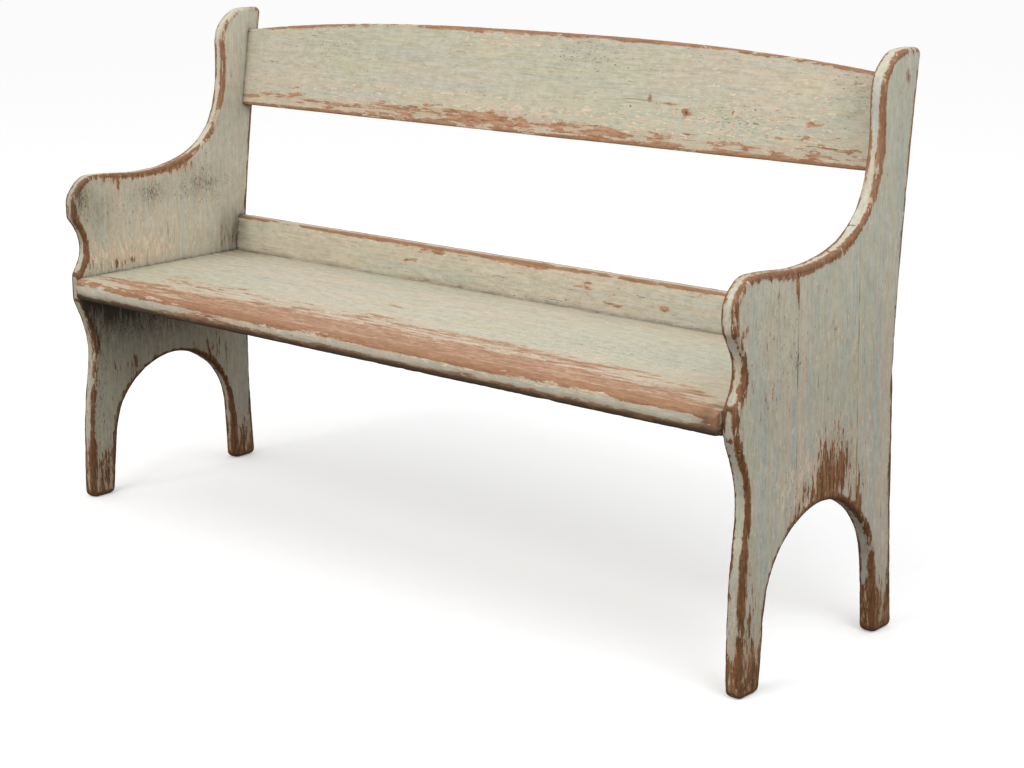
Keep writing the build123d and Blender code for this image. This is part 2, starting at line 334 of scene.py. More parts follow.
def lattice_points(low, high):
    """A triangular lattice over a flat box, and which of its points stay away from the arrises."""
    rows = np.arange(1, int((high[1] - low[1]) / FINEST / ROW_HEIGHT) + 1)
    columns = np.arange(1, int((high[0] - low[0]) / FINEST) + 1)
    row, column = (grid.ravel() for grid in np.meshgrid(rows, columns))
    lattice = low + FINEST * np.stack([column + 0.5 * (row % 2), ROW_HEIGHT * row], axis=1)
    return lattice, (row % 2 == 0) & ((column + row // 2) % 2 == 0)


def inside_border(tris, border):
    """The triangles on the inner side of the border's directed edges."""
    span = int(tris.max()) + 1
    pairs = directed_edges(tris)
    ahead = np.isin(pairs[:, 0] * span + pairs[:, 1], border[:, 0] * span + border[:, 1])
    behind = np.isin(pairs[:, 1] * span + pairs[:, 0], border[:, 0] * span + border[:, 1])
    _, which = unique_edges(tris)
    order = np.argsort(which.ravel(), kind="stable")
    edge = which.ravel()[order]
    twice = np.flatnonzero((edge[1:] == edge[:-1]) & ~(ahead | behind)[order][1:])
    group = linked(len(tris), np.stack([order[twice] // 3, order[twice + 1] // 3], axis=1))
    return tris[np.isin(group, group[np.flatnonzero(ahead) // 3])]


def fill_flat(points, tris, arrises):
    """New triangles for one flat face: its border stays, and a lattice of new points fills it."""
    origin = points[tris[0, 0]]
    normal = triangle_normals(points, tris[np.argmax(triangle_areas(points, tris))][None])[0]
    is_level = abs(normal[2]) >= 0.9
    side = np.cross(normal, (0.0, 1.0, 0.0) if is_level else (0.0, 0.0, 1.0))
    side /= np.linalg.norm(side)
    axes = np.stack([side, np.cross(normal, side)], axis=1)
    border = flat_border(tris)
    ring, lines = np.unique(border, return_inverse=True)
    outline = (points[ring] - origin) @ axes

    lattice, coarse = lattice_points(outline.min(axis=0), outline.max(axis=0))
    raised = origin + lattice @ axes.T
    face = BVHTree.FromPolygons(points.tolist(), tris.tolist(), all_triangles=True)
    fence = fence_along(points, border, normal)
    keep = np.zeros(len(raised), bool)
    for number, point in enumerate(raised.tolist()):
        if not coarse[number] and arrises.find(point)[2] > FINE_BAND:
            continue
        if face.find_nearest(point, LIFT)[3] is not None:
            keep[number] = fence.find_nearest(point, BORDER_CLEAR * FINEST)[3] is None

    flat = np.vstack([outline, lattice[keep]])
    numbers = np.concatenate([ring, len(points) + np.arange(keep.sum())])
    made = delaunay_2d_cdt(
        [Vector(p) for p in flat.tolist()], lines.reshape(-1, 2).tolist(), [], 0, TINY, True
    )
    new = numbers[np.array([ids[0] for ids in made[3]])[np.array(made[2])]]
    return raised[keep], inside_border(new, border)


def open_normals(points, tris, glued):
    """Each point's normal over the triangles that see out, or zero where none does."""
    normals = triangle_normals(points, tris)
    centres = points[tris].mean(axis=1)
    open_tris = np.array([is_open(p, n, glued) for p, n in zip(centres, normals)])
    total = np.zeros_like(points)
    for k in range(3):
        np.add.at(total, tris[open_tris, k], normals[open_tris])
    return total / np.maximum(np.linalg.norm(total, axis=1, keepdims=True), TINY)


SOFTEN_REACH = 0.008  # the rounding fades out over this distance from an arris
SOFTEN_PASSES = 5
SOFTEN_SHARE = 0.5  # how far a point on an arris moves to its neighbours' middle in one pass

# Noises are given by their features per metre and a shift. Dents fade out over their reach from
# an arris, and each also has the level above which it begins and its share of the depth.
DENT_REACH = 0.007
DENT_DEPTH = 0.0012
DENTS = ((38, 3.7, 0.05, 1.0), (110, 9.1, 0.15, 0.5))
WAVE_DEPTH = 0.00035
WAVES = (7, 21.3)
JOINT_CLEAR = 0.004  # rounding, dents and waves grow over this distance from another panel
SHARP = math.radians(40)  # bends above this are shaded as sharp


def soften(points, tris, strength):
    """Rounds the arrises a little more, as handling does."""
    edges, _ = unique_edges(tris)
    count = np.bincount(edges.ravel(), minlength=len(points))[:, None]
    for _ in range(SOFTEN_PASSES):
        total = np.zeros_like(points)
        np.add.at(total, edges[:, 0], points[edges[:, 1]])
        np.add.at(total, edges[:, 1], points[edges[:, 0]])
        points = points + (total / count - points) * strength[:, None]
    return points


def noise_at(points, scale, shift):
    """Smooth noise from -1 to 1 at each point, with scale features per metre."""
    return np.array([noise.noise(p) for p in (points * scale + shift).tolist()])


def work_surface(points, tris, near, normals):
    """Softened, dented arrises and faces that aren't quite flat, all on the inner side of the CAD
    surface. Glued faces stay as they are."""
    is_out = np.linalg.norm(normals, axis=1) > 0.5
    clear_of_joint = np.clip(near[:, 1] / JOINT_CLEAR, 0, 1)
    round_off = SOFTEN_SHARE * np.clip(1 - near[:, 0] / SOFTEN_REACH, 0, 1)
    points = soften(points, tris, round_off * is_out * clear_of_joint)
    dents = np.zeros(len(points))
    for scale, shift, level, share in DENTS:
        dents += share * np.clip(noise_at(points, scale, shift) - level, 0, 1)
    dents *= DENT_DEPTH * np.exp(-((near[:, 0] / DENT_REACH) ** 2))
    waves = WAVE_DEPTH * (noise_at(points, *WAVES) - 1.0)
    depth = (dents - waves) * clear_of_joint * is_out
    return points - normals * depth[:, None]


SHAPES = {name: read_mesh(name) for names in PANELS.values() for name in names}
SOLID = tree_of(SHAPES)


def build_panel(panel):
    """The finished objects of one panel's boards, with their wear and painted shade as attributes.
    """
    others = tree_of([n for p, names in PANELS.items() if p != panel for n in names])
    glued = {n: [m for m in PANELS[panel] if m != n] for n in PANELS[panel]}
    glued = {n: tree_of(rest) if rest else None for n, rest in glued.items()}
    found = [p for n in PANELS[panel] for p in arris_points(*SHAPES[n], glued[n])]
    arrises = KDTree(len(found))
    for number, point in enumerate(found):
        arrises.insert(point, number)
    arrises.balance()
    objects = []
    for name in PANELS[panel]:
        points, tris, near = refine(*SHAPES[name], arrises, others)
        normals = open_normals(points, tris, glued[name])
        # the wear, with the painted shade among it
        wear = wear_and_shade_of(panel, points, near)
        points = work_surface(points, tris, near, normals)
        mesh = bpy.data.meshes.new("painted_" + name)
        mesh.from_pydata(points.tolist(), [], tris.tolist())
        for label, values in wear.items():
            attribute = mesh.attributes.new(label, "FLOAT", "POINT")
            attribute.data.foreach_set("value", values.astype(np.float32))
        mesh.shade_smooth()
        mesh.set_sharp_from_angle(angle=SHARP)
        piece = bpy.data.objects.new("painted_" + name, mesh)
        bpy.context.scene.collection.objects.link(piece)
        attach(piece, BODY)
        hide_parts(name)
        objects.append(piece)
    return objects


# ---------------------------------------------------------------- wear and painted shade

# Patches: centre (x, depth, height), radii, and how strongly they act
WORN = {
    "seat": [
        ((-0.62, 0.045, 0.432), (0.14, 0.035, 0.05), 0.54),
        ((-0.36, 0.040, 0.432), (0.20, 0.042, 0.05), 0.66),
        ((-0.05, 0.038, 0.432), (0.26, 0.050, 0.05), 0.76),
        ((0.28, 0.036, 0.432), (0.22, 0.046, 0.05), 0.78),
        ((0.58, 0.030, 0.432), (0.18, 0.042, 0.05), 0.72),
        ((-0.10, 0.115, 0.432), (0.45, 0.035, 0.05), 0.32),
        ((-0.11, 0.215, 0.432), (0.035, 0.009, 0.05), 0.42),
        ((-0.05, 0.145, 0.432), (0.070, 0.014, 0.05), 0.34),
        ((0.21, 0.122, 0.432), (0.110, 0.012, 0.05), 0.36),
        ((0.42, 0.101, 0.432), (0.040, 0.010, 0.05), 0.40),
        ((0.64, 0.078, 0.432), (0.035, 0.010, 0.05), 0.42),
        ((0.45, 0.105, 0.432), (0.24, 0.030, 0.05), 0.34),
        ((-0.55, 0.130, 0.432), (0.18, 0.030, 0.05), 0.30),
        ((-0.38, 0.000, 0.415), (0.11, 0.020, 0.03), 0.50),
        ((0.00, 0.004, 0.395), (1.10, 0.030, 0.012), 1.00),
        ((0.73, 0.000, 0.415), (0.02, 0.030, 0.03), 0.60),
        ((-0.45, 0.000, 0.415), (0.28, 0.006, 0.011), -0.40),
        ((0.02, 0.000, 0.415), (0.20, 0.006, 0.010), -0.46),
        ((0.33, 0.000, 0.415), (0.15, 0.006, 0.010), -0.40),
        ((0.60, 0.000, 0.417), (0.12, 0.006, 0.011), -0.50),
    ],
    "right_end": [
        ((0.775, 0.258, 0.300), (0.02, 0.045, 0.060), 0.80),
        ((0.775, 0.215, 0.265), (0.02, 0.060, 0.030), 0.50),
        ((0.775, 0.150, 0.235), (0.02, 0.025, 0.040), 0.40),
        ((0.775, 0.325, 0.220), (0.02, 0.020, 0.090), 0.45),
        ((0.765, 0.400, 0.010), (0.08, 0.080, 0.080), 0.72),
        ((0.765, 0.050, 0.010), (0.08, 0.080, 0.090), 0.72),
        ((0.755, -0.010, 0.600), (0.03, 0.020, 0.050), 0.35),
        ((0.760, 0.060, 0.622), (0.03, 0.080, 0.012), 0.40),
        ((0.760, 0.180, 0.630), (0.03, 0.070, 0.018), 0.34),
        ((0.775, 0.470, 0.180), (0.02, 0.020, 0.120), 0.40),
        ((0.775, 0.160, 0.585), (0.02, 0.006, 0.030), 0.48),
        ((0.775, 0.032, 0.545), (0.02, 0.007, 0.014), 0.56),
        ((0.775, 0.100, 0.520), (0.02, 0.120, 0.120), 0.18),
        ((0.775, 0.040, 0.200), (0.02, 0.030, 0.150), 0.26),
    ],
    "left_end": [
        ((-0.757, 0.400, 0.010), (0.08, 0.080, 0.080), 0.64),
        ((-0.757, 0.050, 0.010), (0.08, 0.080, 0.100), 0.64),
        ((-0.747, 0.030, 0.300), (0.02, 0.030, 0.050), 0.42),
        ((-0.747, 0.110, 0.612), (0.02, 0.100, 0.012), 0.40),
        ((-0.747, 0.110, 0.598), (0.02, 0.007, 0.026), 0.50),
        ((-0.747, 0.260, 0.622), (0.02, 0.050, 0.022), 0.54),
        ((-0.747, 0.000, 0.500), (0.02, 0.030, 0.060), 0.48),
        ((-0.747, 0.120, 0.448), (0.02, 0.100, 0.012), 0.42),
        ((-0.747, 0.370, 0.460), (0.02, 0.030, 0.030), 0.36),
        ((-0.747, 0.130, 0.235), (0.02, 0.060, 0.050), 0.40),
        ((-0.747, 0.320, 0.230), (0.02, 0.050, 0.080), 0.46),
        ((-0.747, 0.455, 0.800), (0.02, 0.012, 0.080), 0.50),
    ],
    "backrest": [
        ((0.00, 0.440, 0.740), (1.20, 0.05, 0.012), 0.52),
        ((-0.10, 0.440, 0.750), (0.30, 0.05, 0.014), 0.34),
        ((0.60, 0.445, 0.770), (0.10, 0.05, 0.025), 0.32),
        ((0.69, 0.450, 0.885), (0.07, 0.05, 0.020), 0.46),
        ((0.60, 0.450, 0.893), (0.03, 0.05, 0.012), 0.46),
        ((0.15, 0.450, 0.908), (0.30, 0.05, 0.008), 0.40),
        ((-0.62, 0.450, 0.760), (0.06, 0.05, 0.020), 0.30),
    ],
    "rail": [
        ((-0.45, 0.405, 0.508), (0.25, 0.10, 0.010), 0.34),
        ((-0.21, 0.405, 0.491), (0.09, 0.10, 0.007), 0.52),
        ((-0.28, 0.403, 0.467), (0.05, 0.10, 0.005), 0.58),
        ((0.03, 0.405, 0.494), (0.07, 0.10, 0.009), 0.62),
        ((0.17, 0.403, 0.474), (0.01, 0.10, 0.012), 0.52),
        ((0.22, 0.402, 0.448), (0.03, 0.10, 0.004), 0.42),
        ((0.34, 0.402, 0.454), (0.01, 0.10, 0.005), 0.66),
        ((0.30, 0.403, 0.470), (0.40, 0.10, 0.020), 0.20),
        ((-0.20, 0.400, 0.435), (0.15, 0.10, 0.004), 0.46),
    ],
}
CREAM_FLECKS = {
    "left_end": [
        ((-0.747, 0.120, 0.465), (0.02, 0.160, 0.030), 0.9),
        ((-0.747, -0.005, 0.580), (0.02, 0.018, 0.080), 0.8),
        ((-0.747, 0.200, 0.550), (0.02, 0.200, 0.120), 0.14),
    ],
    "right_end": [
        ((0.775, 0.180, 0.290), (0.02, 0.110, 0.070), 0.6),
        ((0.775, 0.250, 0.450), (0.02, 0.250, 0.250), 0.22),
    ],
    "seat": [
        ((0.10, 0.090, 0.432), (0.70, 0.060, 0.03), 0.45),
        ((0.00, 0.000, 0.420), (0.90, 0.010, 0.006), 0.70),
    ],
    "rail": [((0.00, 0.435, 0.500), (0.80, 0.05, 0.020), 0.35)],
    "backrest": [
        ((0.00, 0.440, 0.765), (0.80, 0.05, 0.025), 0.55),
        ((-0.06, 0.445, 0.885), (0.10, 0.05, 0.020), 0.50),
        ((0.55, 0.445, 0.820), (0.20, 0.05, 0.060), 0.35),
    ],
}
DARK_SPECKS = {
    "left_end": [
        ((-0.747, 0.017, 0.581), (0.02, 0.025, 0.040), 1.1),
        ((-0.747, 0.188, 0.574), (0.02, 0.035, 0.024), 0.85),
        ((-0.747, 0.090, 0.560), (0.02, 0.050, 0.050), 0.4),
        ((-0.747, 0.310, 0.575), (0.02, 0.070, 0.040), 0.7),
        ((-0.747, 0.200, 0.330), (0.02, 0.150, 0.050), 0.9),
        ((-0.747, 0.040, 0.220), (0.02, 0.040, 0.140), 0.6),
    ],
    "right_end": [
        ((0.775, 0.010, 0.150), (0.03, 0.040, 0.100), 0.6),
        ((0.775, 0.120, 0.520), (0.02, 0.060, 0.100), 0.3),
        ((0.775, 0.164, 0.478), (0.02, 0.004, 0.015), 1.3),
        ((0.775, 0.257, 0.511), (0.02, 0.004, 0.010), 1.4),
    ],
    "seat": [((0.40, 0.200, 0.432), (0.30, 0.060, 0.05), 0.4)],
    "backrest": [
        ((0.69, 0.450, 0.850), (0.07, 0.05, 0.050), 0.4),
        ((0.14, 0.450, 0.870), (0.10, 0.05, 0.030), 0.5),
        ((0.45, 0.440, 0.780), (0.12, 0.05, 0.030), 0.5),
        ((-0.50, 0.450, 0.850), (0.15, 0.05, 0.040), 0.3),
    ],
    "rail": [((0.00, 0.430, 0.440), (0.30, 0.05, 0.012), 0.5)],
}
# Dirt, and painted shade where the seat's front edge curves under
DIRT_AND_SHADE = {
    "left_end": [
        ((-0.747, 0.017, 0.585), (0.02, 0.030, 0.050), 0.45),
        ((-0.747, 0.070, 0.550), (0.02, 0.040, 0.050), 0.26),
        ((-0.747, 0.188, 0.574), (0.02, 0.045, 0.026), 0.28),
        ((-0.747, 0.310, 0.575), (0.02, 0.050, 0.030), 0.26),
        ((-0.747, 0.390, 0.470), (0.03, 0.040, 0.045), 0.55),
    ],
    "seat": [
        ((-0.735, 0.390, 0.432), (0.08, 0.060, 0.05), 0.50),
        # painted shade along the rounding under the seat's front edge
        ((0.00, 0.000, 0.392), (1.60, 0.040, 0.012), 2.10),
        ((0.728, 0.010, 0.415), (0.012, 0.030, 0.03), 0.50),
    ],
    "rail": [
        ((-0.735, 0.430, 0.470), (0.02, 0.05, 0.08), 0.40),
        ((0.00, 0.430, 0.450), (1.20, 0.05, 0.060), 0.13),
    ],
    "backrest": [((0.72, 0.450, 0.830), (0.06, 0.05, 0.080), 0.18)],
}
# How far the bare line reaches to either side of an arris, on the inner and the outer side of an
# end and on the other boards, and how much of that swings with a noise
BARE_LINE_INNER = {"left_end": 0.0044, "right_end": 0.0022}
BARE_LINE_OUTER = 0.0054
BARE_LINE = {"seat": 0.0026, "rail": 0.0032, "backrest": 0.0046}
REACH_SWING, REACH_NOISE = 0.9, (14, 52.0)

# How bare the line is: its level, which swings slowly and stays in a range, and quick breaks
LINE_LEVEL = 0.76
LINE_SWING, LINE_SWING_NOISE = 0.80, (7, 40.0)
LINE_RANGE = (0.34, 1.00)
LINE_BREAKS, LINE_BREAKS_NOISE = 0.42, (34, 61.0)
SEAT_TOP_LINE = 0.70  # the share that the seat's upper arrises have

# Painted shade on the ends, at its strongest just under the seat on their inner faces, and darker
# towards the floor: how strong it is there, and over what height it fades
SHADE_UNDER_SEAT, SHADE_UNDER_SEAT_FADE = 2.00, 0.055
SHADE_NEAR_FLOOR, SHADE_NEAR_FLOOR_FADE = 0.24, 0.25
INNER_MARGIN = 0.004  # an inner face's painted shade also covers what lies this little behind it

CREAM_EVERYWHERE = 0.12  # what every board has besides its patches
SPECKS_EVERYWHERE = 0.05


def patches(points, table, panel):
    """The sum of a panel's soft blobs, each full at its centre and nothing well outside."""
    total = np.zeros(len(points))
    for centre, radii, amount in table.get(panel, []):
        away = (points - at(*centre)) / np.array(radii)
        total += amount * np.exp(-(away**2).sum(axis=1))
    return total


def wear_and_shade_of(panel, points, near):
    """What the paint's material reads at each point: the distances in metres from the nearest
    arris (edge) and from the nearest other panel (joint), the reach of the bare line along the
    arris and how bare it is (line), the other bare places (worn), the dirt together with painted
    shade under the seat, towards the floor and under the seat's front edge (dirt_and_shade), and
    how thick the cream flecks and dark specks are."""
    reach = np.full(len(points), BARE_LINE.get(panel, BARE_LINE_OUTER))
    line = np.clip(LINE_LEVEL + LINE_SWING * noise_at(points, *LINE_SWING_NOISE), *LINE_RANGE)
    line += LINE_BREAKS * noise_at(points, *LINE_BREAKS_NOISE)
    dirt_and_shade = patches(points, DIRT_AND_SHADE, panel)
    if panel == "seat":
        line *= np.where(points[:, 2] > (SEAT_TOP + SEAT_BOTTOM) / 2, SEAT_TOP_LINE, 1.0)
    if panel in BARE_LINE_INNER:
        outward = np.clip((abs(points[:, 0]) - INNER_X) / (OUTER_X - INNER_X), 0, 1)
        inner = BARE_LINE_INNER[panel]
        reach = inner + (BARE_LINE_OUTER - inner) * outward
        # painted shade: dark under the seat on the inner faces, and darker towards the floor
        below = (SEAT_BOTTOM - points[:, 2]) * (abs(points[:, 0]) < INNER_X + INNER_MARGIN)
        dirt_and_shade += SHADE_UNDER_SEAT * np.exp(-below / SHADE_UNDER_SEAT_FADE) * (below > 0)
        dirt_and_shade += SHADE_NEAR_FLOOR * np.exp(-points[:, 2] / SHADE_NEAR_FLOOR_FADE)
    return {
        "edge": near[:, 0],
        "joint": near[:, 1],
        "reach": reach * (1 + REACH_SWING * noise_at(points, *REACH_NOISE)),
        "line": line,
        "worn": patches(points, WORN, panel),
        "dirt_and_shade": dirt_and_shade,
        "cream": CREAM_EVERYWHERE + patches(points, CREAM_FLECKS, panel),
        "specks": SPECKS_EVERYWHERE + patches(points, DARK_SPECKS, panel),
    }


# ---------------------------------------------------------------- materials

# Colours are linear. The bare wood's come in pairs, dark and light.
PAINT_WARM = (0.590, 0.530, 0.420)
PAINT_SAGE = (0.540, 0.530, 0.410)
PAINT_BLUE = (0.475, 0.510, 0.465)
PAINT_YELLOW = (0.600, 0.540, 0.350)
PAINT_HIGHLIGHT = (0.720, 0.720, 0.640)
CREAM = (0.780, 0.660, 0.500)
PINK = (0.640, 0.440, 0.310)
# the dark of cracks, seams and dirt, and also of the painted shade
GRIME_AND_SHADE = (0.050, 0.034, 0.020)
SOOT = (0.110, 0.085, 0.060)
KNOT = (0.340, 0.120, 0.040)
BARE_DUSTY = ((0.300, 0.145, 0.070), (0.540, 0.315, 0.190))
BARE_BROWN = ((0.120, 0.046, 0.014), (0.390, 0.185, 0.078))
BEECH = ((0.550, 0.360, 0.190), (0.720, 0.530, 0.330))
STEEL = ((0.550, 0.540, 0.520), (0.300, 0.260, 0.220))

# Noises that follow the grain: their features per metre across it and along it, a shift, and
# their detail and roughness
WOOD_NOISES = {
    "broad": (6, 2, 0.0, 3.0, 0.60),
    "cloudy": (20, 6, 4.0, 3.0, 0.60),
    "band": (60, 3, 5.0, 3.0, 0.60),
    "streak": (230, 24, 1.0, 4.0, 0.70),
    "fibre": (800, 26, 2.0, 2.0, 0.60),
    "ragged": (110, 18, 3.0, 7.0, 0.74),
    "flecks": (260, 62, 7.0, 3.0, 0.60),
    "mottle": (90, 60, 8.0, 4.0, 0.65),
    "soot": (620, 140, 9.0, 3.0, 0.70),
    "cracks": (280, 13, 11.0, 3.0, 0.60),
    "crack_area": (26, 9, 13.0, 2.0, 0.60),
}

# Dark and light laid over the paint, one pair for each of three patterns
STREAK_SHADES = ((0.43, 0.42, 0.41), (0.57, 0.57, 0.57))
MOTTLE_SHADES = ((0.45, 0.44, 0.43), (0.55, 0.55, 0.55))
FIBRE_SHADES = ((0.46, 0.46, 0.46), (0.54, 0.54, 0.54))
SHADING = 0.8

# A dark joint line right at another board, and a wider painted shade beside it: how strong each
# is, and how fast it fades per metre
CORNER_GRIME, CORNER_FADE = 0.60, 330.0
NEARBY_SHADE, NEARBY_FADE = 0.20, 40.0

HIGHLIGHT_FROM, HIGHLIGHT_TO = 0.45, 0.80  # the uprights pale, as a painted highlight, between these heights
SEAM_INNER, SEAM_OUTER = 0.0004, 0.0018  # half the width of a glue seam and of its soft edge
BUMP_STRENGTH, BUMP_DEPTH = 0.7, 0.0006

# Knots that show through the paint: centre (x, depth, height), radii and strength
KNOTS = {
    "backrest": [
        ((0.358, 0.437, 0.787), (0.010, 0.2, 0.007), 1.0),
        ((0.279, 0.439, 0.803), (0.006, 0.2, 0.009), 0.7),
        ((0.318, 0.437, 0.798), (0.018, 0.2, 0.0022), 0.7),
        ((0.239, 0.437, 0.789), (0.003, 0.2, 0.003), 1.0),
        ((0.452, 0.437, 0.793), (0.004, 0.2, 0.004), 0.8),
    ],
    "right_end": [((0.775, 0.445, 0.872), (0.2, 0.007, 0.011), 0.6)],
}


class Graph:
    """A material's node tree, built one node at a time."""

    def __init__(self, name):
        self.material = bpy.data.materials.new(name)
        self.material.use_nodes = True
        self.tree = self.material.node_tree
        self.shader = self.tree.nodes["Principled BSDF"]

    def put(self, socket, value):
        if isinstance(value, bpy.types.NodeSocket):
            self.tree.links.new(value, socket)
        elif socket.type == "RGBA":
            socket.default_value = (*value, 1.0)
        else:
            socket.default_value = value

    def node(self, kind, inputs=None, **settings):
        made = self.tree.nodes.new("ShaderNode" + kind)
        for key, value in settings.items():
            setattr(made, key, value)
        for key, value in (inputs or {}).items():
            self.put(made.inputs[key], value)
        return made

    def math(self, operation, a, b=0.0):
        return self.node("Math", {0: a, 1: b}, operation=operation).outputs[0]

    def plus(self, a, b):
        return self.math("ADD", a, b)

    def minus(self, a, b):
        return self.math("SUBTRACT", a, b)

    def times(self, a, b):
        return self.math("MULTIPLY", a, b)

    def fade(self, value, rate):
        """1 where value is 0, and less and less above it."""
        return self.math("EXPONENT", self.times(value, -rate))

    def step(self, value, low, high, to_low=0.0, to_high=1.0):
        """value eased from to_low at low to to_high at high."""
        ends = {"From Min": low, "From Max": high, "To Min": to_low, "To Max": to_high}
        made = self.node("MapRange", {"Value": value, **ends}, interpolation_type="SMOOTHSTEP")
        return made.outputs["Result"]

    def mix(self, amount, a, b, blend="MIX"):
        made = self.node("Mix", {"Factor": amount}, data_type="RGBA", blend_type=blend)
        self.put(made.inputs[6], a)
        self.put(made.inputs[7], b)
        return made.outputs[2]

    def noise(self, vector, detail, roughness):
        settings = {"Vector": vector, "Scale": 1.0, "Detail": detail, "Roughness": roughness}
        return self.node("TexNoise", settings).outputs["Fac"]

    def scaled(self, vector, scale, shift=0.0):
        settings = {"Vector": vector, "Scale": scale, "Location": (shift, shift, shift)}
        return self.node("Mapping", settings).outputs["Vector"]

    def attribute(self, name):
        return self.node("Attribute", attribute_name=name).outputs["Fac"]

    def blob(self, where, centre, radii):
        """The distance from a centre, 1 at the radii."""
        scale = [1 / r for r in radii]
        shift = [-c / r for c, r in zip(at(*centre), radii)]
        moved = self.node("Mapping", {"Vector": where, "Scale": scale, "Location": shift})
        far = self.node("VectorMath", {0: moved.outputs["Vector"]}, operation="LENGTH")
        return far.outputs["Value"]

    def shine(self, roughness, specular=None, metallic=None):
        """The shader's own settings, apart from its colour."""
        self.put(self.shader.inputs["Roughness"], roughness)
        if specular is not None:
            self.put(self.shader.inputs["Specular IOR Level"], specular)
        if metallic is not None:
            self.put(self.shader.inputs["Metallic"], metallic)


def wood_patterns(g, where, grain):
    """The noises of painted wood, drawn out along the grain."""
    patterns = {}
    for name, (across, along, shift, detail, roughness) in WOOD_NOISES.items():
        scale = [across] * 3
        scale[grain] = along
        patterns[name] = g.noise(g.scaled(where, scale, shift), detail, roughness)
    patterns["ragged"] = g.step(patterns["ragged"], 0.27, 0.73)
    return SimpleNamespace(**patterns)


def paint_colour(g, p, blueness, pale):
    """The colour of sound paint. blueness is how far it turns blue in bands, and pale how far a
    painted highlight turns it paler, or None.
    """
    paint = g.mix(g.step(p.broad, 0.38, 0.62), PAINT_WARM, PAINT_SAGE)
    paint = g.mix(g.step(p.band, 0.46, 0.64, 0.0, blueness), paint, PAINT_BLUE)
    paint = g.mix(g.step(p.cloudy, 0.56, 0.74, 0.0, 0.45), paint, PAINT_YELLOW)
    thin = g.times(g.step(p.cloudy, 0.46, 0.30), g.step(p.streak, 0.50, 0.66, 0.0, 0.5))
    paint = g.mix(thin, paint, PINK)
    # painted highlight: paler paint high up on the uprights
    if pale is not None:
        paint = g.mix(pale, paint, PAINT_HIGHLIGHT)
    shading = (p.streak, STREAK_SHADES), (p.mottle, MOTTLE_SHADES), (p.fibre, FIBRE_SHADES)
    for pattern, shades in shading:
        paint = g.mix(SHADING, paint, g.mix(g.step(pattern, 0.3, 0.7), *shades), "OVERLAY")
    return paint


def bare_colour(g, p, edge, dark, light):
    """The colour of the wood where no paint is left."""
    bare = g.mix(g.step(p.streak, 0.33, 0.66), dark, light)
    bare = g.mix(g.step(p.fibre, 0.52, 0.75, 0.0, 0.45), bare, dark)
    bare = g.mix(g.step(p.flecks, 0.55, 0.66, 0.0, 0.55), bare, PINK)
    bare = g.mix(g.step(p.mottle, 0.50, 0.34, 0.0, 0.55), bare, dark)
    return g.mix(g.step(edge, 0.0030, 0.0005, 0.0, 0.6), bare, dark)


def cream_places(g, p, cream):
    """Where the undercoat shows in small flecks, and in blotches where cream is high."""
    fleck = g.step(g.plus(p.flecks, g.times(cream, 0.16)), 0.655, 0.68)
    fleck = g.times(fleck, g.step(cream, 0.05, 0.30, 0.4, 0.95))
    blotch = g.step(g.plus(p.mottle, g.times(cream, 0.16)), 0.67, 0.70)
    blotch = g.times(blotch, g.step(cream, 0.50, 0.80, 0.0, 0.85))
    return g.math("MAXIMUM", fleck, blotch)


def add_marks(g, p, colour, specks, crack):
    """Cracks along the grain, fine dark specks and larger blots."""
    colour = g.mix(g.times(crack, 0.75), colour, GRIME_AND_SHADE)
    speck = g.step(g.plus(p.soot, g.times(specks, 0.16)), 0.66, 0.72, 0.0, 0.85)
    colour = g.mix(speck, colour, SOOT)
    blot = g.minus(p.flecks, g.times(specks, 0.12))
    return g.mix(g.step(blot, 0.30, 0.27, 0.0, 0.75), colour, SOOT)


def add_seams(g, p, colour, depth, seams):
    """A broken dark line along each glue seam."""
    for seam in seams:
        off = g.math("ABSOLUTE", g.minus(depth, seam))
        open_here = g.step(p.crack_area, 0.44, 0.56, 0.10, 0.70)
        open_here = g.times(open_here, g.step(off, SEAM_OUTER, SEAM_INNER))
        colour = g.mix(open_here, colour, GRIME_AND_SHADE)
    return colour


def add_knots(g, p, colour, where, knots):
    """Brown rings with dark hearts, of an uneven outline."""
    wobble = g.times(g.minus(p.mottle, 0.5), 3.0)
    for centre, radii, strength in knots:
        far = g.plus(g.blob(where, centre, radii), wobble)
        colour = g.mix(g.step(far, 1.1, 0.75, 0.0, 0.8 * strength), colour, KNOT)
        colour = g.mix(g.step(far, 0.40, 0.15, 0.0, 0.7 * strength), colour, GRIME_AND_SHADE)
    return colour


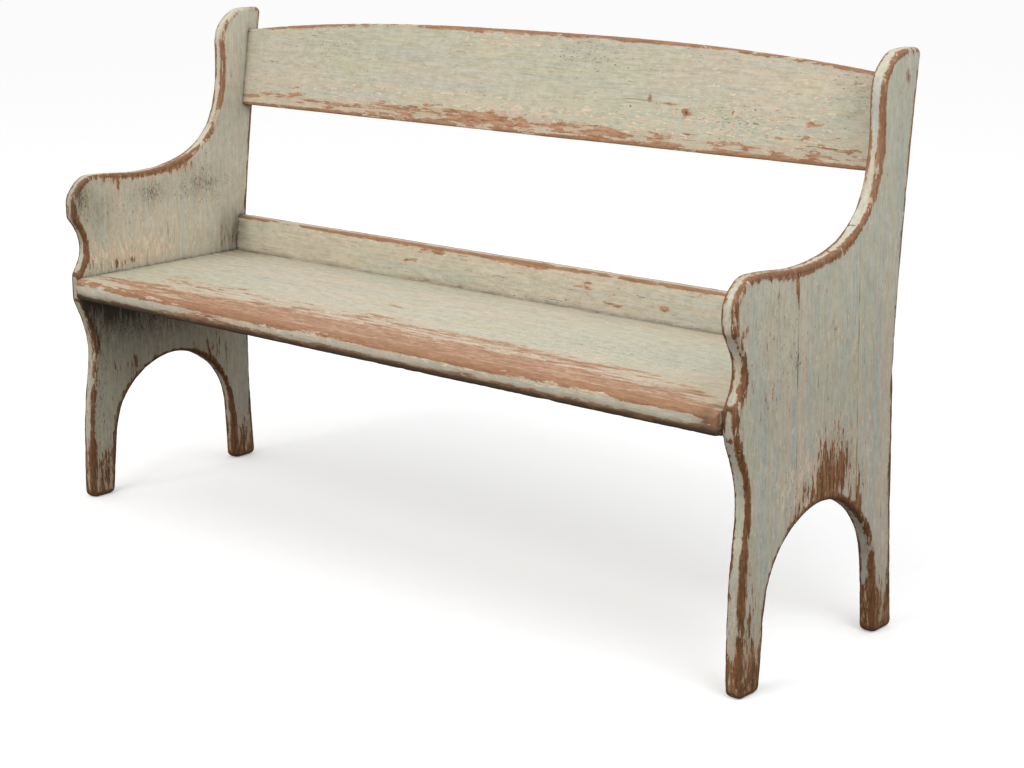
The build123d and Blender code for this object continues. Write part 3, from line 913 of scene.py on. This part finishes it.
def painted_wood(name, grain, bare_colours, blueness, knots=(), seams=()):
    """Matt paint over a cream undercoat over brown pine, rubbed through where the board's wear says
    so, and darkened by dirt and painted shade. grain is 0 for boards that run along X and 2 for
    upright boards, which get a painted highlight high up. Each glue seam is at its own Y."""
    g = Graph(name)
    where = g.node("TexCoord").outputs["Object"]
    place = g.node("SeparateXYZ", {"Vector": where}).outputs
    p = wood_patterns(g, where, grain)

    edge = g.attribute("edge")
    joint = g.attribute("joint")
    away = g.math("DIVIDE", edge, g.attribute("reach"))
    line = g.fade(g.times(away, away), 1.0)
    worn = g.plus(g.attribute("worn"), g.times(line, g.attribute("line")))
    past = g.minus(g.plus(p.ragged, worn), 1.0)
    through = g.step(past, -0.03, 0.05)
    rim = g.step(past, -0.11, -0.04)

    # a painted highlight high up, where more light falls: paler paint and lighter bare wood
    highlight_up_high = g.step(place["Z"], HIGHLIGHT_FROM, HIGHLIGHT_TO, 0.0, 0.7)
    paint = paint_colour(g, p, blueness, g.times(highlight_up_high, 0.35) if grain == 2 else None)
    stain = g.step(g.plus(worn, g.times(p.cloudy, 0.35)), 0.30, 1.05, 0.0, 0.55)
    paint = g.mix(stain, paint, bare_colours[1])
    undercoat = g.mix(g.step(p.streak, 0.42, 0.60), CREAM, PINK)
    bare = bare_colour(g, p, edge, *(g.mix(highlight_up_high, *c) for c in zip(bare_colours, BARE_DUSTY)))
    colour = g.mix(cream_places(g, p, g.attribute("cream")), paint, undercoat)
    colour = g.mix(g.times(rim, 0.75), colour, undercoat)
    colour = g.mix(through, colour, bare)

    crack = g.times(g.step(p.cracks, 0.33, 0.28), g.step(p.crack_area, 0.50, 0.60))
    colour = add_marks(g, p, colour, g.attribute("specks"), crack)
    colour = add_seams(g, p, colour, place["Y"], seams)
    colour = add_knots(g, p, colour, where, knots)
    # dark joint line, painted shade beside other boards, and the boards' dirt and painted shade
    corner = g.times(g.fade(joint, CORNER_FADE), CORNER_GRIME)
    nearby_shade = g.times(g.fade(joint, NEARBY_FADE), NEARBY_SHADE)
    dirt_and_shade = g.plus(g.attribute("dirt_and_shade"), g.plus(corner, nearby_shade))
    grime_and_shade = g.times(dirt_and_shade, g.step(p.ragged, 0.1, 0.7, 0.5, 1.0))
    colour = g.mix(g.math("MINIMUM", grime_and_shade, 0.92), colour, GRIME_AND_SHADE)
    g.put(g.shader.inputs["Base Color"], colour)

    gloss = g.plus(through, g.step(p.streak, 0.3, 0.7, 0.0, 0.4))
    g.shine(g.step(gloss, 0.0, 1.4, 0.75, 0.50), specular=0.35)

    height = g.times(g.minus(1.0, through), 0.6)
    height = g.plus(height, g.times(p.streak, 0.5))
    height = g.plus(height, g.times(p.fibre, 0.25))
    height = g.minus(height, crack)
    bump = g.node("Bump", {"Strength": BUMP_STRENGTH, "Distance": BUMP_DEPTH, "Height": height})
    g.put(g.shader.inputs["Normal"], bump.outputs["Normal"])
    return g.material


def plain_wood(name):
    """Unfinished beech, for the dowels."""
    g = Graph(name)
    grain = g.noise(g.scaled(g.node("TexCoord").outputs["Object"], (20, 300, 300)), 4, 0.6)
    g.put(g.shader.inputs["Base Color"], g.mix(g.step(grain, 0.3, 0.7), *BEECH))
    g.shine(g.step(grain, 0.3, 0.7, 0.5, 0.65))
    return g.material


def steel(name):
    """Plain steel with a little tarnish, for the screws."""
    g = Graph(name)
    tarnish = g.noise(g.scaled(g.node("TexCoord").outputs["Object"], (400, 400, 400)), 3, 0.6)
    g.put(g.shader.inputs["Base Color"], g.mix(g.step(tarnish, 0.4, 0.7), *STEEL))
    g.shine(g.step(tarnish, 0.3, 0.7, 0.3, 0.55), metallic=1.0)
    return g.material


plain_paint = painted_wood("paint_plain", 0, BARE_DUSTY, 0.5)
PAINTS = {
    "left_end": painted_wood("paint_left_end", 2, BARE_BROWN, 0.45),
    "right_end": painted_wood("paint_right_end", 2, BARE_BROWN, 0.9, KNOTS["right_end"], END_SEAMS),
    "backrest": painted_wood("paint_backrest", 0, BARE_DUSTY, 0.5, KNOTS["backrest"]),
}
for panel in PANELS:
    for piece in build_panel(panel):
        piece.data.materials.append(PAINTS.get(panel, plain_paint))
beech = plain_wood("bare_beech")
screw_steel = steel("screw_steel")
for node, material in (
    ("rail_dowels", beech),
    ("backrest_dowels", beech),
    ("cleat_to_end_screws", screw_steel),
    ("cleat_to_seat_screws", screw_steel),
    ("rail_to_seat_screws", screw_steel),
    ("rail_screw_plugs", plain_paint),
):
    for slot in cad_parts[node].material_slots:
        slot.material = material

# ---------------------------------------------------------------- stage

CAMERA_PLACE = (2.4836, -2.5882, 1.2137)
CAMERA_AZIMUTH = 42.117
CAMERA_ELEVATION = 10.107
CAMERA_ROLL = -0.580
CAMERA_LENS = 74.65
CAMERA_SHIFT = (0.0, -0.150)
FLOOR_SIZE = 60.0
FLOOR_SEEN = ((0.90, 0.90, 0.90), (0.92, 0.92, 0.92))
FLOOR_UNSEEN = (0.16, 0.15, 0.14)
FLOOR_GLOW = 0.212
SKY_SEEN = 1.0
SKY_LIGHT = 0.82

# Area lights: name, place, target, size, power and colour
LIGHTS = [
    ("key", (-0.4, -3.4, 3.2), (0, 0, 0.5), (2.6, 1.8), 74, (1.0, 0.96, 0.91)),
    ("side", (2.7, -0.7, 2.5), (0, 0, 0.8), (1.8, 1.8), 28, (0.93, 0.98, 1.0)),
]


def add_camera():
    data = bpy.data.cameras.new("camera")
    data.lens = CAMERA_LENS
    data.shift_x, data.shift_y = CAMERA_SHIFT
    camera = bpy.data.objects.new("camera", data)
    bpy.context.scene.collection.objects.link(camera)
    turn, lift = math.radians(CAMERA_AZIMUTH), math.radians(CAMERA_ELEVATION)
    level = math.cos(lift)
    back = Vector((math.sin(turn) * level, -math.cos(turn) * level, math.sin(lift)))
    camera.rotation_mode = "QUATERNION"
    roll = Matrix.Rotation(math.radians(CAMERA_ROLL), 4, "Z").to_quaternion()
    camera.rotation_quaternion = (-back).to_track_quat("-Z", "Y") @ roll
    camera.location = CAMERA_PLACE
    bpy.context.scene.camera = camera


def add_floor():
    """A pale floor that looks brighter than the light it throws back up at the pew."""
    half = FLOOR_SIZE / 2
    mesh = bpy.data.meshes.new("floor")
    mesh.from_pydata(
        [(-half, -half, 0), (half, -half, 0), (half, half, 0), (-half, half, 0)], [], [(0, 1, 2, 3)]
    )
    floor = bpy.data.objects.new("floor", mesh)
    bpy.context.scene.collection.objects.link(floor)
    g = Graph("pale_floor")
    mottle = g.noise(g.scaled(g.node("TexCoord").outputs["Object"], (30, 30, 30)), 2, 0.5)
    seen = g.mix(g.step(mottle, 0.3, 0.7), *FLOOR_SEEN)
    direct = g.node("LightPath").outputs["Is Camera Ray"]
    g.put(g.shader.inputs["Base Color"], g.mix(direct, FLOOR_UNSEEN, seen))
    g.shine(0.9, specular=0.0)
    g.put(g.shader.inputs["Emission Color"], (1.0, 1.0, 1.0))
    g.put(g.shader.inputs["Emission Strength"], g.times(direct, FLOOR_GLOW))
    mesh.materials.append(g.material)


def add_light(name, place, target, size, power, colour):
    data = bpy.data.lights.new(name, "AREA")
    data.shape = "RECTANGLE"
    data.size, data.size_y = size
    data.energy = power
    data.color = colour
    light = bpy.data.objects.new(name, data)
    bpy.context.scene.collection.objects.link(light)
    light.location = place
    light.rotation_mode = "QUATERNION"
    light.rotation_quaternion = (Vector(target) - Vector(place)).to_track_quat("-Z", "Y")


def add_world():
    """A white sky that lights the pew a little less than it looks."""
    world = bpy.data.worlds.new("studio")
    bpy.context.scene.world = world
    world.use_nodes = True
    tree = world.node_tree
    background = tree.nodes["Background"]
    path = tree.nodes.new("ShaderNodeLightPath")
    strength = tree.nodes.new("ShaderNodeMapRange")
    strength.inputs["To Min"].default_value = SKY_LIGHT
    strength.inputs["To Max"].default_value = SKY_SEEN
    tree.links.new(path.outputs["Is Camera Ray"], strength.inputs["Value"])
    tree.links.new(strength.outputs["Result"], background.inputs["Strength"])
    background.inputs["Color"].default_value = (1, 1, 1, 1)


add_camera()
add_floor()
add_world()
for light in LIGHTS:
    add_light(*light)
bpy.context.scene.view_settings.view_transform = "Standard"
